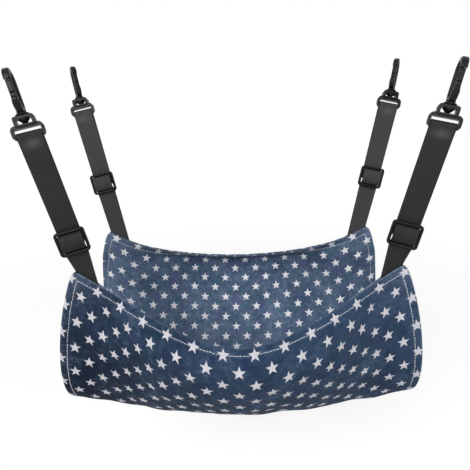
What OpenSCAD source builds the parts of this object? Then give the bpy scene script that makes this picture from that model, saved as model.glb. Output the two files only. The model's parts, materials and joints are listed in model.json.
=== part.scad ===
// Pet hammock: a two-layer cloth bed hung at its corners from four webbing straps.
// Each strap doubles back through a slider and ends in a swivel snap hook.
// Millimetres, +Z up, front towards -Y, Z = 0 at the lowest point of the bed.

/* [Bed] */
// Half the distance between the left and right corners
corner_x = 188; // [150:1:240]
// Half the distance between the front and back corners
corner_y = 70; // [60:1:90]
// How far the middle of the front and back edge hangs below the corners
edge_dip = 68; // [50:1:80]
// How far the middle of the front and back edge stands out past the corners
edge_bulge = 61; // [40:1:75]
// Depth of the bed below the corners, in the middle
mid_depth = 238; // [215:1:260]
// Depth of the bed below the corners, at the side hems
side_depth = 196; // [180:1:215]
// Half the width of the bed along its bottom
bottom_half = 212; // [195:1:260]
// How far the side hems swell out on the way up
side_swell = 37; // [20:1:50]
// Thickness of one cloth layer
cloth_t = 1; // [0.6:0.1:1.6]

/* [Straps] */
// Width of the webbing
webbing_w = 25; // [20:1:30]
// Thickness of the webbing
webbing_t = 1.6; // [1.2:0.1:2]
// Webbing from the hem over the hook bar and back to the slider bar
strap_len = 281; // [250:1:340]
// Slider bar above the hem on the front straps
front_slider_at = 46.5; // [34:0.5:90]
// Slider bar above the hem on the back straps
back_slider_at = 80; // [34:1:100]
// Outward lean of the front straps, seen from the side
front_lean = 2.5; // [0:0.1:16]
// Outward splay of the front straps, seen from the front
front_splay = 11.4; // [0:0.1:18]
// Outward lean of the back straps, seen from the side
back_lean = 9.5; // [0:0.1:20]
// Outward splay of the back straps, seen from the front
back_splay = 12.8; // [0:0.1:18]
// Turn of the front straps about their own length
front_twist = -18; // [-25:1:10]
// Turn of the back straps about their own length
back_twist = -4; // [-25:1:10]

/* [Slider] */
// Length of the slider along the strap
slider_l = 28.6; // [27:0.2:36]
// Thickness of the slider
slider_t = 5; // [4:0.2:6]
// Width of the slider's rails and end bars
slider_bar = 3.4; // [3:0.1:3.6]

/* [Hook] */
// Radius of the bar that the strap loops over
bar_r = 2.2; // [2:0.1:2.6]
// Inner radius of the crook
crook_r = 5.6; // [5:0.1:7]
// Width of the hook's section, in the plane of the hook
hook_w = 5.8; // [5:0.1:7]
// Thickness of the hook's section, across the plane of the hook
hook_t = 7; // [6:0.1:8]
// Height of the crook's centre above the flange
crook_rise = 33; // [26:0.5:42]
// Turn of the front hooks about their swivel
front_swivel = -89; // [-180:1:180]
// Turn of the back hooks about their swivel
back_swivel = -114; // [-180:1:180]
// How much more upright the front hooks stand than their straps
front_tilt = -12.5; // [-25:0.5:25]
// How much further the back hooks lean than their straps
back_tilt = -9.5; // [-20:0.5:20]

/* [Hidden] */
$fn = 48;

// Overrun of every cut past the face it opens
cut = 1;
// Gap that keeps soft pieces clear of their neighbours
clear = 0.3;
// Radial play of a turning fit
play = 0.08;

// Space between the two cloth layers, and where a strap's tail lies in it
layer_gap = 0.4;
tail_gap = webbing_t + 2 * clear;
// Height of the corners over the lowest point of the bed
seam_z = mid_depth + layer_gap / 2 + cloth_t;
// Inset of the strap from the side hem
strap_inset = 2;
strap_in = (corner_x - strap_inset - webbing_w) / corner_x;
strap_out = (corner_x - strap_inset) / corner_x;
strap_mid = (strap_in + strap_out) / 2;
// Shares of the way out to the edge at which a tail starts and ends, and its pocket starts and turns
tail_share = 0.86;
tail_end_share = 0.985;
pocket_share = 0.84;
lip_share = 0.92;
// How much wider the pocket is than the tail, on each side
pocket_margin = 0.5;
pocket_in = strap_in - pocket_margin / corner_x;
pocket_out = strap_out + pocket_margin / corner_x;
// Shares across half the bed and down half the bed where the mesh has a line
even_steps = 9;
even_end_share = 0.78;
even_shares = [for (i = [0:even_steps]) i * even_end_share / even_steps];
across_shares = concat(even_shares, [pocket_in, pocket_out, 1]);
down_shares = concat(even_shares, [pocket_share, lip_share, 1]);
// Powers that shape the dip of the edge and the turns from the mid to the side profile
dip_power = 1.8;
side_power = 3.8;
lip_power = 3;
// Handles of the mid profile and of the side profile, as shares of depth
mid_floor_share = 0.32;
mid_lip_out_share = 0.25;
mid_lip_down_share = 0.084;
side_floor_share = 0.714;
side_lip_down_share = 0.22;
// Step of the numeric slope of the bed's surface
slope_step = 0.002;

// Reach from the hem to the hook bar: both ends of the same cut length of webbing
front_reach = (strap_len + front_slider_at) / 2;
back_reach = (strap_len + back_slider_at) / 2;
// Gap between the hem and the strap's run, where the strap swings
swing_gap = 0.7;

// Room for the webbing on each side, in the slider and in the yoke
web_room = 0.45;

// Slider: width over its rails, middle bar, corners and edge rounding
slider_w = webbing_w + 2 * (web_room + slider_bar);
mid_bar_r = 2;
inner_corner_r = 0.7;
slider_corner = slider_bar + inner_corner_r;
edge_r = 1.5;
// Webbing in the slider: two plies behind the end bars, the sewn end round the middle bar
front_lane = slider_t / 2 + clear + webbing_t / 2;
back_lane = front_lane + webbing_t + clear;
slider_y = -(front_lane + back_lane) / 2;
lane_start = slider_l / 2 - slider_bar - webbing_t / 2;
wrap_r = mid_bar_r + clear / 2 + webbing_t / 2;
wrap_turn = 280;
wrap_steps = 14;
roll_y = wrap_r + webbing_t + clear;
wave_steps = 24;

// Yoke: everything is measured up from the centre of its bar
arm_w = 2.9;
arm_t = 6.4;
arm_wall = 1.2;
arm_low = bar_r + arm_wall;
yoke_w = webbing_w + 2 * (web_room + arm_w);
shoulder_r = 5;
ear_r = 2.6;
loop_r = bar_r + clear + webbing_t / 2;
slot_room = 3;
cross_z = loop_r + webbing_t / 2 + slot_room;
cross_h = 4;
housing_w = 20.4;
housing_t = 9.6;
window_h = 5.4;
post_w = 3;
plate_z = cross_z + cross_h + window_h;
plate_h = 3;
neck_r = 3;
neck_gap = 0.2;
head_r = 5.4;
head_tip_r = 1.6;
turn_steps = 12;

// Hook: flange, lower bend, crook and gate
flange_z = plate_z + plate_h + neck_gap;
flange_r = 6.8;
flange_h = 2;
foot_r = 4.6;
section_r = 1.8;
crook_z = flange_z + flange_h + crook_rise;
crook_x = crook_r + hook_w / 2;
bend_sink = 0.6;
bend_z = flange_z + flange_h + crook_r + hook_w - bend_sink;
nose_angle = 8;
nose_gap = 0.5;
gate_r = 2.5;
gate_rise = 1;
gate_z = bend_z + gate_rise;
gate_w = 3.2;
gate_t = 5.6;
socket_r = 4;
gate_top = crook_z - (crook_x + gate_w / 2) * tan(nose_angle) - nose_gap;
gate_swing = 24;
tab_out = 2.2;
tab_shares = [0.34, 0.37, 0.88, 0.98];

function mix(a, b, share) = a + (b - a) * share;
function smooth(a) = a * a * (3 - 2 * a);
function unit(v) = v / norm(v);
function bezier(a, b, c, d, u) =
  a * pow(1 - u, 3) + 3 * b * u * pow(1 - u, 2) + 3 * c * u * u * (1 - u) + d * pow(u, 3);

// Half width of the bed a share u of the way up from its bottom
function half_width(u) = mix(bottom_half, corner_x, u * u) + side_swell * u * (1 - u);

// Point of the bed's middle surface: s runs left to right and t front to back, both from -1 to 1
function bed_point(s, t) =
  let (a = abs(s), u = abs(t), side = pow(a, side_power))
  let (lip_y = mix(corner_y + edge_bulge, corner_y, smooth(a)))
  let (lip_z = -edge_dip * (1 - pow(a, dip_power)))
  let (floor_z = -mix(mid_depth, side_depth, side))
  let (floor_y = mix(mid_floor_share * mid_depth, side_floor_share * side_depth, side))
  let (turn = pow(smooth(min(a / strap_in, 1)), lip_power))
  let (down = mix(mid_lip_down_share * mid_depth, side_lip_down_share * side_depth, turn))
  let (lean_in = side_lip_down_share * side_depth * tan(front_lean))
  let (out = mix(mid_lip_out_share * mid_depth, -lean_in, turn))
  [
    half_width(u) * s,
    sign(t) * bezier(0, floor_y, lip_y + out, lip_y, u),
    seam_z + bezier(floor_z, floor_z, lip_z - down, lip_z, u)
  ];

// Unit normal of the bed, towards the inside
function bed_normal(s, t) =
  unit(cross(
    bed_point(min(s + slope_step, 1), t) - bed_point(max(s - slope_step, -1), t),
    bed_point(s, min(t + slope_step, 1)) - bed_point(s, max(t - slope_step, -1))
  ));

// Half the space between the layers: wider where a strap's tail lies between them
function half_gap(s, t) =
  let (across = abs(s) >= pocket_in && abs(s) <= pocket_out)
  (across && abs(t) >= pocket_share ? tail_gap : layer_gap) / 2;

// Point of the flat pocket between the layers, and its normal, as the layers' mesh lines span it
function pocket_mix(f, s, t) =
  let (share = (s - pocket_in) / (pocket_out - pocket_in))
  let (down = max(0, (lip_share - abs(t)) / (lip_share - pocket_share)))
  let (low = sign(t) * max(abs(t), lip_share))
  mix(
    mix(f(pocket_in, low), f(pocket_out, low), share),
    mix(f(pocket_in, sign(t) * pocket_share), f(pocket_out, sign(t) * pocket_share), share),
    down
  );
function pocket_point(s, t) = pocket_mix(function(a, b) bed_point(a, b), s, t);
function pocket_normal(s, t) = unit(pocket_mix(function(a, b) bed_normal(a, b), s, t));

// Shares from -1 to 1, mirrored from those of one half
function mirrored(shares) =
  let (n = len(shares))
  concat([for (i = [n - 1:-1:1]) -shares[i]], shares);

// A closed sheet on a grid of points: its bottom face, its top face and its rim.
// The triangles of its left half mirror those of its right half.
module sheet(low, high) {
  n = len(low);
  m = len(low[0]);
  points = concat([for (row = low) each row], [for (row = high) each row]);
  top = n * m;
  floor_faces = [
    for (i = [0:n - 2]) for (j = [0:m - 2]) let (k = i * m + j)
      each i + 1 < n / 2
        ? [[k, k + m, k + 1], [k + m, k + m + 1, k + 1]]
        : [[k, k + m, k + m + 1], [k, k + m + 1, k + 1]]
  ];
  roof_faces = [for (f = floor_faces) [f[2] + top, f[1] + top, f[0] + top]];
  rim = concat(
    [for (j = [0:m - 2]) j],
    [for (i = [0:n - 2]) i * m + m - 1],
    [for (j = [m - 1:-1:1]) (n - 1) * m + j],
    [for (i = [n - 1:-1:1]) i * m]
  );
  rim_faces = [
    for (k = [0:len(rim) - 1]) let (a = rim[k], b = rim[(k + 1) % len(rim)])
      each [[a, b, b + top], [a, b + top, a + top]]
  ];
  polyhedron(points, concat(floor_faces, roof_faces, rim_faces));
}

// One cloth layer, from the space between the layers outwards on one side
module layer(side) {
  across = mirrored(across_shares);
  down = mirrored(down_shares);
  face = function(extra) [
    for (s = across) [
      for (t = down) bed_point(s, t) + side * (half_gap(s, t) + extra) * bed_normal(s, t)
    ]
  ];
  if (side > 0) {
    sheet(face(0), face(cloth_t));
  } else {
    sheet(face(cloth_t), face(0));
  }
}

module bed_outer() {
  color("#22304f") layer(-1);
}

module bed_inner() {
  color("#2b3b5e") layer(1);
}

// A strap's own frame at the hem: X across the webbing, Z up along it, Y through it
function strap_axis(back) =
  let (lean = back ? -back_lean : front_lean, splay = back ? back_splay : front_splay)
  [cos(lean) * sin(splay), -sin(lean), cos(lean) * cos(splay)];
function strap_twist(back) = back ? back_twist : front_twist;
function strap_across(back) =
  let (splay = back ? back_splay : front_splay, twist = strap_twist(back))
  let (level = [cos(splay), 0, -sin(splay)])
  cos(twist) * level + sin(twist) * cross(strap_axis(back), level);
function strap_through(back) = cross(strap_axis(back), strap_across(back));
function hem_t(back) = back ? 1 : -1;
function slider_at(back) = back ? back_slider_at : front_slider_at;
function reach(back) = back ? back_reach : front_reach;

module strap_frame(back) {
  lean = back ? -back_lean : front_lean;
  splay = back ? back_splay : front_splay;
  translate(bed_point(strap_mid, hem_t(back))) rotate([lean, splay, 0]) {
    rotate([0, 0, strap_twist(back)]) children();
  }
}

module slider_frame(back) {
  strap_frame(back) translate([0, slider_y, slider_at(back)]) children();
}

module yoke_frame(back) {
  tilt = back ? back_tilt : front_tilt;
  strap_frame(back) translate([0, 0, reach(back)]) rotate([tilt, 0, 0]) children();
}

module hook_frame(back) {
  swivel = back ? back_swivel : front_swivel;
  yoke_frame(back) rotate([0, 0, swivel]) children();
}

// Turns an outline drawn across and up into a plate of thickness t, centred
module plate(t) {
  rotate([90, 0, 0]) linear_extrude(t, center = true) children();
}

// Turns a strip drawn through and up into webbing, centred across its width
module web() {
  rotate([90, 0, 90]) linear_extrude(webbing_w, center = true) children();
}

module round_rect(w, h, r) {
  square([w - 2 * r, h], center = true);
  square([w, h - 2 * r], center = true);
  for (x = [-1, 1]) for (y = [-1, 1]) {
    translate([x * (w / 2 - r), y * (h / 2 - r)]) circle(r);
  }
}

// Outline of a strip of webbing along a path of points
function strip(path) =
  let (n = len(path))
  let (way = [for (i = [0:n - 1]) unit(path[min(i + 1, n - 1)] - path[max(i - 1, 0)])])
  let (side = [for (w = way) [-w[1], w[0]] * webbing_t / 2])
  concat([for (i = [0:n - 1]) path[i] + side[i]], [for (i = [n - 1:-1:0]) path[i] - side[i]]);

// Webbing sewn between the two layers at a corner
module tail(back) {
  tail_ends = [tail_share, lip_share, tail_end_share];
  corners = function(side) [
    for (s = [strap_in, strap_out]) [
      for (t = back ? tail_ends : [for (i = [2:-1:0]) -tail_ends[i]])
        pocket_point(s, t) + side * webbing_t / 2 * pocket_normal(s, t)
    ]
  ];
  color("#2a2a2c") sheet(corners(-1), corners(1));
}

// Single run of webbing from the hem up to the slider, turning from the one to the other
module run(back) {
  t = hem_t(back);
  up = strap_axis(back);
  through = strap_through(back);
  top = bed_point(strap_mid, t) + up * (slider_at(back) - slider_l / 2 - clear)
    + through * (slider_y + front_lane);
  ends = [strap_in, strap_out];
  foot = [for (s = ends) bed_point(s, t) + up * swing_gap];
  foot_through = unit(cross(up, foot[1] - foot[0]));
  head = [for (x = [-1, 1]) top + strap_across(back) * x * webbing_w / 2];
  face = function(side) [
    for (i = [0, 1]) [
      foot[i] + side * foot_through * webbing_t / 2,
      head[i] + side * through * webbing_t / 2
    ]
  ];
  color("#2a2a2c") sheet(face(1), face(-1));
}

// Webbing in the slider: the sewn end round its bar, and the run that rolls over it
module thread(back) {
  rise = slider_l / 2;
  depth = front_lane + roll_y;
  wave = [
    for (i = [0:wave_steps]) let (z = mix(-lane_start, lane_start, i / wave_steps))
      [front_lane - depth * (1 + cos(180 * z / lane_start)) / 2, z]
  ];
  wrap = [
    for (i = [0:wrap_steps]) let (angle = -wrap_turn * i / wrap_steps)
      wrap_r * [cos(angle), sin(angle)]
  ];
  running = concat([[front_lane, -rise]], wave, [[front_lane, rise]]);
  sewn = concat([[back_lane, rise], [back_lane, lane_start]], wrap);
  color("#2a2a2c") slider_frame(back) {
    web() polygon(strip(running));
    web() polygon(strip(sewn));
  }
}

// Section of the slider's frame
module slider_section() {
  round_rect(slider_bar, slider_t, edge_r);
}

// Three-bar slider: a frame with rounded corners and a round bar across its middle
module slider(back) {
  rail_x = (slider_w - slider_bar) / 2;
  bar_z = (slider_l - slider_bar) / 2;
  turn_x = slider_w / 2 - slider_corner;
  turn_z = slider_l / 2 - slider_corner;
  color("#1b1b1d") slider_frame(back) {
    for (x = [-1, 1]) {
      translate([x * rail_x, 0, 0]) linear_extrude(2 * turn_z, center = true) slider_section();
    }
    for (z = [-1, 1]) translate([0, 0, z * bar_z]) rotate([0, 90, 0]) {
      linear_extrude(2 * turn_x, center = true) slider_section();
    }
    for (q = [0:3]) {
      x = q == 0 || q == 3 ? turn_x : -turn_x;
      z = q < 2 ? turn_z : -turn_z;
      translate([x, 0, z]) rotate([90, 0, 0]) rotate([0, 0, 90 * q]) rotate_extrude(angle = 90) {
        translate([slider_corner - slider_bar / 2, 0]) slider_section();
      }
    }
    rotate([0, 90, 0]) cylinder(h = slider_w - slider_bar, r = mid_bar_r, center = true);
  }
}

// Doubled webbing from the slider up, over the hook bar and down again
module loop(back) {
  foot = slider_at(back) + slider_l / 2 + clear - reach(back);
  turn = [for (i = [0:turn_steps]) loop_r * [-cos(180 * i / turn_steps), sin(180 * i / turn_steps)]];
  path = concat([[slider_y + front_lane, foot]], turn, [[slider_y + back_lane, foot]]);
  color("#2a2a2c") strap_frame(back) translate([0, 0, reach(back)]) web() polygon(strip(path));
}

// Front outline of the yoke's frame, with the slot for the webbing open at the bottom
module slot_frame() {
  high = cross_z + cross_h + arm_low;
  slot_w = yoke_w - 2 * arm_w;
  slot_h = cross_z + 2 * arm_low;
  difference() {
    translate([0, high / 2 - arm_low]) round_rect(yoke_w, high, shoulder_r);
    translate([0, cross_z - slot_h / 2]) square([slot_w, slot_h], center = true);
  }
}

// Front outline of the swivel's housing, with the window that shows the swivel head
module housing() {
  foot = cross_z + cross_h / 2;
  high = plate_z + plate_h - foot;
  window_w = housing_w - 2 * post_w;
  difference() {
    translate([0, foot + high / 2]) round_rect(housing_w, high, ear_r);
    translate([0, plate_z - window_h / 2]) square([window_w, window_h], center = true);
  }
}

// Yoke: a slotted frame for the webbing with a housing for the swivel on top
module yoke(back) {
  color("#1b1b1d") yoke_frame(back) difference() {
    union() {
      rotate([0, 90, 0]) cylinder(h = yoke_w - arm_w, r = bar_r, center = true);
      plate(arm_t) slot_frame();
      plate(housing_t) housing();
    }
    translate([0, 0, plate_z - cut]) cylinder(h = plate_h + 2 * cut, r = neck_r + play);
  }
}

// Section of the hook, drawn at a distance from the axis that it turns about
module hook_section(x) {
  translate([x, 0]) round_rect(hook_w, hook_t, section_r);
}

// Snap hook: swivel head, flange, foot, lower bend, stem, crook and the gate's socket
module hook(back) {
  head_z = plate_z - neck_gap;
  color("#1b1b1d") hook_frame(back) difference() {
    union() {
      rotate_extrude() polygon([
        [0, cross_z + cross_h + neck_gap],
        [head_tip_r, cross_z + cross_h + neck_gap],
        [head_r, head_z - edge_r / 2],
        [head_r, head_z],
        [neck_r, head_z],
        [neck_r, flange_z],
        [flange_r - edge_r / 2, flange_z],
        [flange_r, flange_z + edge_r / 2],
        [flange_r, flange_z + flange_h - edge_r / 2],
        [foot_r, flange_z + flange_h + edge_r / 2],
        [foot_r, bend_z - crook_x],
        [0, bend_z - crook_x]
      ]);
      translate([0, 0, bend_z]) rotate([90, 0, 0]) rotate([0, 0, 180]) {
        rotate_extrude(angle = 180) hook_section(crook_x);
      }
      translate([0, 0, bend_z]) linear_extrude(crook_z - bend_z) hook_section(-crook_x);
      translate([0, 0, crook_z]) rotate([90, 0, 0]) rotate([0, 0, -nose_angle]) {
        rotate_extrude(angle = 180 + nose_angle) hook_section(crook_x);
      }
      translate([crook_x, 0, gate_z]) plate(hook_t - 2 * edge_r) circle(socket_r);
    }
    translate([crook_x, 0, gate_z]) {
      plate(hook_t + 2 * cut) circle(gate_r + play);
      plate(hook_t + 2 * cut) polygon([
        [gate_w / 2 + clear, 0],
        [gate_w / 2 + clear, socket_r + cut],
        [-gate_w / 2 - clear - (socket_r + cut) * tan(gate_swing), socket_r + cut],
        [-gate_w / 2 - clear, 0]
      ]);
    }
  }
}

// Gate: a barrel in the hook's socket, a tongue up to the nose and a thumb tab
module gate(back) {
  length = gate_top - gate_z;
  color("#1b1b1d") hook_frame(back) translate([crook_x, 0, gate_z]) {
    plate(gate_t) circle(gate_r);
    linear_extrude(length) round_rect(gate_w, gate_t, edge_r / 2);
    plate(gate_t - edge_r) polygon([
      [0, tab_shares[0] * length],
      [gate_w / 2 + tab_out, tab_shares[1] * length],
      [gate_w / 2 + tab_out, tab_shares[2] * length],
      [0, tab_shares[3] * length]
    ]);
  }
}

// Builds a piece on the right, or mirrored on the left
module on_side(left) {
  mirror([left ? 1 : 0, 0, 0]) children();
}

bed_outer();
bed_inner();
for (back = [false, true]) for (left = [true, false]) {
  name = str(back ? "back" : "front", left ? "_left_" : "_right_");
  on_side(left) tail(back);
  on_side(left) run(back);
  on_side(left) thread(back);
  on_side(left) slider(back);
  on_side(left) loop(back);
  on_side(left) yoke(back);
  on_side(left) hook(back);
  on_side(left) gate(back);
}
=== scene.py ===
import json
import math

import bpy
import numpy as np
from bpy.props import FloatProperty, FloatVectorProperty, PointerProperty
from mathutils import Matrix, Vector


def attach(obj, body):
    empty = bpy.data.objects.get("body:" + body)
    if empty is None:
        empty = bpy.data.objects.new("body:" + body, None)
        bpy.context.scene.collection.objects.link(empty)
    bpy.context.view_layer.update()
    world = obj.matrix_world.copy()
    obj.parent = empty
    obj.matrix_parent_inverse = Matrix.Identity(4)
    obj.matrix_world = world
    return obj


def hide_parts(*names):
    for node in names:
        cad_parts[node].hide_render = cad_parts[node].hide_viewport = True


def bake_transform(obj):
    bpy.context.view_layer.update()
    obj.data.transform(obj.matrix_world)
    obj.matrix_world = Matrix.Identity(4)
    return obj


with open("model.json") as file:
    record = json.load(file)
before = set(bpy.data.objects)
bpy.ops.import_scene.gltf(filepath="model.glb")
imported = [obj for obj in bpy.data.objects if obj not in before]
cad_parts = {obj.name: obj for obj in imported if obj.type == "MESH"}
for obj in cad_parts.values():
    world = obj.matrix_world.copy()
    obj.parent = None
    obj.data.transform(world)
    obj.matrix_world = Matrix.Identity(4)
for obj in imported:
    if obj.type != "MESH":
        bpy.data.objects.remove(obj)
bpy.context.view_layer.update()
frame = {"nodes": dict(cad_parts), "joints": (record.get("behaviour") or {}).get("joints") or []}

bl_info = {
    "name": "Pet Hammock",
    "version": (1, 0, 0),
    "blender": (4, 5, 0),
    "location": "View3D > Sidebar > Hammock",
    "description": "Printed cloth bed, topstitching, webbing straps, "
                   "plastic hooks and stage of a hung pet hammock",
    "category": "Object",
}

JOINTS = {joint["name"]: joint for joint in frame["joints"]}
CORNERS = ("front_left", "front_right", "back_left", "back_right")
HARDWARE = ("slider", "yoke", "hook", "gate")


def mix(a, b, share):
    return a + (b - a) * share


def smooth(a):
    a = np.clip(a, 0.0, 1.0)
    return a * a * (3.0 - 2.0 * a)


def bezier(a, b, c, d, u):
    v = 1.0 - u
    return a * v ** 3 + 3 * b * u * v ** 2 + 3 * c * u ** 2 * v + d * u ** 3


def unit(v):
    return v / np.linalg.norm(v, axis=-1, keepdims=True)


def distances(points):
    """Distance of each point from the first one along their path."""
    steps = np.linalg.norm(np.diff(points, axis=0), axis=1)
    return np.concatenate([[0.0], np.cumsum(steps)])


def linear(*srgb):
    """A colour given as 0 to 255, as the linear values that a shader takes."""
    out = []
    for part in srgb:
        c = part / 255.0
        out.append(c / 12.92 if c <= 0.04045 else ((c + 0.055) / 1.055) ** 2.4)
    return tuple(out)


def length(name, about, size, low=0.0, high=1.0):
    return FloatProperty(name=name, description=about, default=size, min=low, max=high,
                         unit="LENGTH", precision=5)


def share(name, about, size, low=0.0, high=1.0):
    return FloatProperty(name=name, description=about, default=size, min=low, max=high,
                         subtype="FACTOR")


def angle(name, about, degrees):
    return FloatProperty(name=name, description=about, default=math.radians(degrees),
                         subtype="ANGLE")


def watts(name, about, power):
    return FloatProperty(name=name, description=about, default=power, min=0.0, max=200.0,
                         unit="POWER")


def colour(name, about, *srgb):
    return FloatVectorProperty(name=name, description=about, default=linear(*srgb), size=3,
                               min=0.0, max=1.0, subtype="COLOR")


class HammockBed(bpy.types.PropertyGroup):
    """Shape of the hung cloth bed, with the sizes of the solid model"""

    corner_x: length("Corner half width", "Half the distance between left and right corners", 0.188)
    corner_y: length("Corner half depth", "Half the distance between front and back corners", 0.070)
    edge_dip: length("Edge dip", "How far the middle of an edge hangs below the corners", 0.068)
    edge_bulge: length("Edge bulge", "How far the middle of an edge stands out", 0.061)
    mid_depth: length("Middle depth", "Depth of the bed below the corners in the middle", 0.238)
    side_depth: length("Side depth", "Depth of the bed below the corners at the side hems", 0.196)
    bottom_half: length("Bottom half width", "Half the width along the bottom", 0.212)
    side_swell: length("Side swell", "How far the side hems swell out on the way up", 0.037)
    front_lean: angle("Strap lean", "Lean of the front straps", 2.5)
    flat_width: length("Flat width", "Width of the cloth before it was hung", 0.453)
    flat_length: length("Flat length", "Length of the cloth before it was hung", 0.497)
    cloth: length("Cloth thickness", "Thickness of one layer", 0.00105)
    hem: length("Hem thickness", "Thickness of one turned hem", 0.0016)
    corner_r: length("Corner radius", "Rounding of the four cloth corners", 0.008)
    fold: length("Fold depth", "Depth of the pull folds that leave the corners", 0.0021)
    wave: length("Wave depth", "Depth of the slow waves in the cloth", 0.0010)


class HammockSewing(bpy.types.PropertyGroup):
    """Topstitching round the bed"""

    inset: length("Stitch inset", "Distance of the stitch line from the edge", 0.0088)
    pitch: length("Stitch pitch", "Distance from one stitch to the next", 0.0037)
    stitch: length("Stitch length", "Length of one stitch", 0.0031)
    thread: length("Thread radius", "Radius of the sewing thread", 0.00038)
    sink: length("Stitch pull", "How far the stitches pull the cloth in", 0.0006)
    pucker: length("Pucker", "Height of the small waves along the hem", 0.0004)
    shade: colour("Thread", "Colour of the sewing thread", 206, 207, 214)


class HammockPrint(bpy.types.PropertyGroup):
    """Star print and colours of the cloth"""

    star: length("Star radius", "From the middle of a star to its tips", 0.0072)
    waist: share("Star waist", "Inner radius of a star over its outer radius", 0.42)
    gap_x: length("Star gap across", "Distance between stars in a row", 0.0344)
    gap_y: length("Star gap along", "Distance between every second row", 0.0325)
    # The star print is the same on both cloths: the outer stars are darker as painted shade, and
    # the inner stars paler as painted light.
    outer_star: colour("Outer star", "Colour of the stars on the outer cloth", 203, 201, 207)
    inner_star: colour("Inner star", "Colour of the stars on the inner cloth", 240, 239, 244)
    outer_dark: colour("Outer dark", "Dark tone of the outer cloth", 15, 25, 41)
    outer_light: colour("Outer light", "Light tone of the outer cloth", 46, 65, 90)
    inner_dark: colour("Inner dark", "Dark tone of the inner cloth", 46, 62, 86)
    inner_light: colour("Inner light", "Light tone of the inner cloth", 114, 134, 160)
    worn_shade: colour("Worn cloth", "Tone of the cloth where it is rubbed", 124, 138, 158)


class HammockWebbing(bpy.types.PropertyGroup):
    """Straps"""

    width: length("Webbing width", "Width of the straps", 0.025)
    thick: length("Webbing thickness", "Thickness of the straps", 0.0015)
    rib: length("Rib pitch", "Distance between the ribs of the weave", 0.0017)
    pick: length("Pick pitch", "Distance between the crossing yarns of the weave", 0.0014)
    dark: colour("Webbing dark", "Tone of the yarns in the hollows", 11, 11, 13)
    light: colour("Webbing light", "Tone of the yarns on top", 30, 30, 33)
    # Painted sheen: a paler tone laid on the fold below the yoke, where light catches the bulging
    # webbing.
    pressed: colour("Webbing pressed", "Tone of the yarns that are pressed at a fold", 74, 74, 78)


class HammockPlastic(bpy.types.PropertyGroup):
    """Sliders, yokes, hooks and gates"""

    shade: colour("Plastic", "Tone of the moulded plastic", 8, 8, 9)
    rubbed: colour("Rubbed plastic", "Tone of the rubbed edges", 40, 40, 43)
    gloss: share("Roughness", "Roughness of the moulded faces", 0.34)


class HammockStage(bpy.types.PropertyGroup):
    """Floor, light and camera"""

    drop: length("Floor drop", "Floor below the bed", 0.32, 0.0, 3.0)
    world: FloatProperty(name="Sky light", description="Strength of the light from all round",
                         default=0.50, min=0.0, max=2.0)
    key: watts("Key light", "Power of the main soft light", 30.0)
    fill: watts("Fill light", "Power of the weak soft light", 5.0)
    glow: share("Floor glow", "How much whiter the floor looks to the camera", 0.72)
    eye: FloatVectorProperty(name="Camera place", description="Place of the camera",
                             default=(0.0, -0.498, 0.4262), size=3, subtype="XYZ", unit="LENGTH")
    pitch: angle("Camera pitch", "How far the camera looks down", 19.2)
    yaw: angle("Camera yaw", "How far the camera looks to the left", 0.45)
    roll: angle("Camera roll", "Turn of the camera about its line of sight", -1.4)
    lens: FloatProperty(name="Lens", description="Focal length of the camera",
                        default=31.4, min=10.0, max=200.0, unit="CAMERA")


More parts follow.
